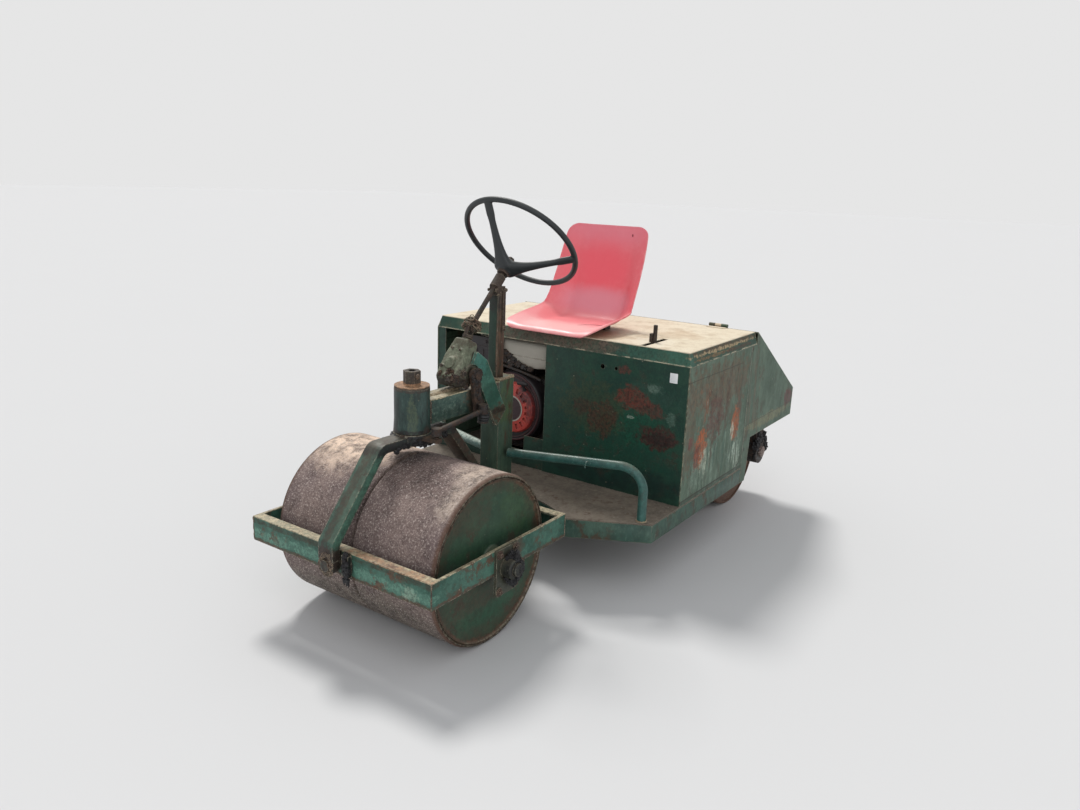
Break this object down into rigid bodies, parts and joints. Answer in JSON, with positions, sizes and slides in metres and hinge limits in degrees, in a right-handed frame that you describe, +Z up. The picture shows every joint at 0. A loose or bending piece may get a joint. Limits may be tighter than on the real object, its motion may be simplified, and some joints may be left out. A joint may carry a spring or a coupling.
{
  "type": "ride-on road roller",
  "caption": "Ride-on road roller with a split front roll steered by a yoke and steering box, a wide driven rear roll, tip-up seat lid and open engine bay.",
  "frame": {"origin": "on the ground below the middle of the machine's overall length and width", "axes": "+X forward towards the steered roll, +Y to the driver's left, +Z up"},
  "size_m": [2.369, 1.2, 1.3854],
  "materials": {
    "teal_paint": "weathered dark teal paint, chipped, with rust patches and streaks",
    "lid_paint": "faded cream paint, dusty and stained",
    "worn_steel": "bare rolled steel, brown-grey, speckled and scuffed",
    "greasy_steel": "dark greasy steel with rust",
    "cast_housing": "rough grey casting, rusty at the foot",
    "red_plastic": "sun-faded coral red moulding",
    "black_plastic": "dusty black moulding",
    "red_paint": "dusty dark red paint",
    "white_plastic": "off-white moulding"
  },
  "bodies": {
    "chassis": {"steering_head": "teal_paint", "neck_beam": "teal_paint", "mast_post": "teal_paint", "column_post": "teal_paint", "column_bearing": "worn_steel", "steering_box": "cast_housing", "steering_bracket": "teal_paint", "base_frame": "teal_paint", "floor_plate": "worn_steel", "guard_tube_left": "teal_paint", "guard_tube_right": "teal_paint", "side_panel_left": "teal_paint", "side_panel_right": "teal_paint", "rear_side_left": "teal_paint", "rear_side_right": "teal_paint", "housing_frame": "teal_paint", "front_surround": "teal_paint", "front_panel": "teal_paint", "rear_slope_panel": "teal_paint", "rear_end_panel": "teal_paint", "engine_block": "cast_housing", "fan_housing": "black_plastic", "starter_cover": "red_paint", "fuel_tank": "white_plastic", "drive_lever": "black_plastic", "rear_bearing_left": "greasy_steel", "rear_bearing_right": "greasy_steel"},
    "lid_unit": {"lid": "lid_paint", "seat_shell": "red_plastic", "seat_bar_front": "teal_paint", "seat_bar_rear": "teal_paint"},
    "yoke_unit": {"yoke": "teal_paint", "kingpin": "greasy_steel", "steering_arm": "teal_paint"},
    "frame_unit": {"roll_frame": "teal_paint", "front_axle": "greasy_steel", "axle_hub_left": "greasy_steel", "axle_hub_right": "greasy_steel"},
    "front_roll_left_unit": {"front_roll_left": "worn_steel"},
    "front_roll_right_unit": {"front_roll_right": "worn_steel"},
    "rear_roll_unit": {"rear_roll": "worn_steel"},
    "wheel_unit": {"steering_wheel": "black_plastic", "column_shaft": "greasy_steel"},
    "input_unit": {"input_shaft": "greasy_steel"},
    "pitman_unit": {"pitman_arm": "greasy_steel"},
    "link_unit": {"drag_link": "greasy_steel"}
  },
  "joints": [
    {"name": "lid_hinge", "type": "hinge", "parent": "chassis", "child": "lid_unit", "pos_m": [-0.6465, 0, 0.87296], "axis": [0, -1, 0], "range_deg": [0, 60]},
    {"name": "steering_yaw", "type": "hinge", "parent": "chassis", "child": "yoke_unit", "pos_m": [0.8015, 0, 0.64], "axis": [0, 0, 1], "range_deg": [-25, 25]},
    {"name": "frame_rock", "type": "hinge", "parent": "yoke_unit", "child": "frame_unit", "pos_m": [0.8015, 0, 0.301], "axis": [1, 0, 0], "range_deg": [-6, 6]},
    {"name": "front_roll_left_spin", "type": "hinge", "parent": "frame_unit", "child": "front_roll_left_unit", "pos_m": [0.8015, 0.17, 0.28], "axis": [0, 1, 0], "continuous": true},
    {"name": "front_roll_right_spin", "type": "hinge", "parent": "frame_unit", "child": "front_roll_right_unit", "pos_m": [0.8015, -0.17, 0.28], "axis": [0, 1, 0], "continuous": true},
    {"name": "rear_roll_spin", "type": "hinge", "parent": "chassis", "child": "rear_roll_unit", "pos_m": [-0.8885, 0, 0.28], "axis": [0, 1, 0], "continuous": true},
    {"name": "wheel_turn", "type": "hinge", "parent": "chassis", "child": "wheel_unit", "pos_m": [0.5125, 0, 0.941], "axis": [-0.7071, 0, 0.7071], "range_deg": [-351, 351]},
    {"name": "input_turn", "type": "hinge", "parent": "chassis", "child": "input_unit", "pos_m": [0.5125, 0, 0.941], "axis": [-0.4226, 0, 0.9063], "range_deg": [-351, 351]},
    {"name": "pitman_swing", "type": "hinge", "parent": "chassis", "child": "pitman_unit", "pos_m": [0.56042, 0, 0.79563], "axis": [0, 1, 0], "range_deg": [-22, 22]},
    {"name": "link_swing", "type": "hinge", "parent": "pitman_unit", "child": "link_unit", "pos_m": [0.54303, 0, 0.67185], "axis": [0, 1, 0], "range_deg": [-22, 22]}
  ],
  "couplings": [
    {"joint": "wheel_turn", "follows": "steering_yaw", "ratio": 14},
    {"joint": "input_turn", "follows": "steering_yaw", "ratio": 14},
    {"joint": "pitman_swing", "follows": "steering_yaw", "ratio": 0.848},
    {"joint": "link_swing", "follows": "steering_yaw", "ratio": -0.848}
  ]
}
